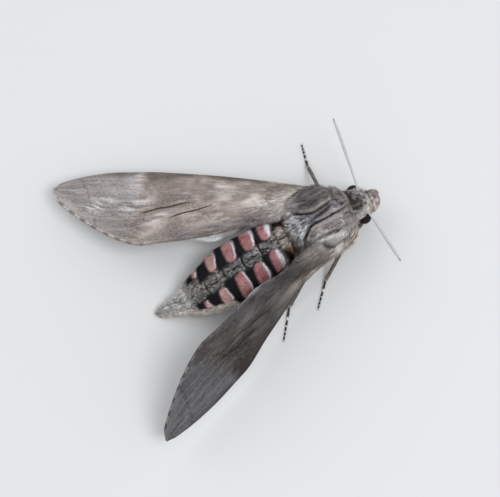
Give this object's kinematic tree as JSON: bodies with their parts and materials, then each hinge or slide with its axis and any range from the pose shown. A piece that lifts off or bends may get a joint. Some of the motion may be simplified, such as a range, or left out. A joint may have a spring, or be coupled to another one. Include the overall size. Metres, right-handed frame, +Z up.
{
  "type": "hawk moth",
  "caption": "Life-size standing hawk moth, wings swept back and half open, with a pink and black barred abdomen and a grey furred thorax.",
  "frame": {"origin": "middle of the underside of the whole moth, on the floor that its feet and tail tip rest on", "axes": "the moth faces -Y, its tail points to +Y, its left side is +X, +Z is up"},
  "size_m": [0.057, 0.0602, 0.0181],
  "materials": {
    "head_scales": "matte grey scales and hair",
    "eye_surface": "glossy dark brown",
    "palp_scales": "matte pinkish brown scales",
    "antenna_scales": "pale grey scales, satin",
    "proboscis_skin": "dark brown horn, satin",
    "collar_scales": "matte grey hair",
    "thorax_scales": "matte grey-brown hair with black lines",
    "tegula_scales": "matte grey hair with black and pale edges",
    "abdomen_scales": "matte hair in pink, black and grey bands",
    "tail_scales": "matte pale grey hair",
    "forewing_scales": "matte grey-brown scales with dark dashes",
    "hindwing_scales": "matte pale grey scales with dark bands",
    "leg_scales": "matte dark brown scales",
    "tarsus_scales": "black horn with pale rings"
  },
  "bodies": {
    "root": {"abdomen_ring_1": "abdomen_scales", "abdomen_ring_2": "abdomen_scales", "abdomen_ring_3": "abdomen_scales", "abdomen_ring_4": "abdomen_scales", "abdomen_ring_5": "abdomen_scales", "abdomen_ring_6": "abdomen_scales", "abdomen_ring_7": "abdomen_scales", "abdomen_tip": "tail_scales", "antenna_left": "antenna_scales", "antenna_right": "antenna_scales", "collar": "collar_scales", "eye_left": "eye_surface", "eye_right": "eye_surface", "femur_front_left": "leg_scales", "femur_front_right": "leg_scales", "femur_hind_left": "leg_scales", "femur_hind_right": "leg_scales", "femur_middle_left": "leg_scales", "femur_middle_right": "leg_scales", "forewing_left": "forewing_scales", "forewing_right": "forewing_scales", "head": "head_scales", "hindwing_left": "hindwing_scales", "hindwing_right": "hindwing_scales", "palp_left": "palp_scales", "palp_right": "palp_scales", "proboscis": "proboscis_skin", "tarsus_front_left": "tarsus_scales", "tarsus_front_right": "tarsus_scales", "tarsus_hind_left": "tarsus_scales", "tarsus_hind_right": "tarsus_scales", "tarsus_middle_left": "tarsus_scales", "tarsus_middle_right": "tarsus_scales", "tegula_left": "tegula_scales", "tegula_right": "tegula_scales", "thorax": "thorax_scales", "tibia_front_left": "leg_scales", "tibia_front_right": "leg_scales", "tibia_hind_left": "leg_scales", "tibia_hind_right": "leg_scales", "tibia_middle_left": "leg_scales", "tibia_middle_right": "leg_scales"}
  },
  "joints": []
}
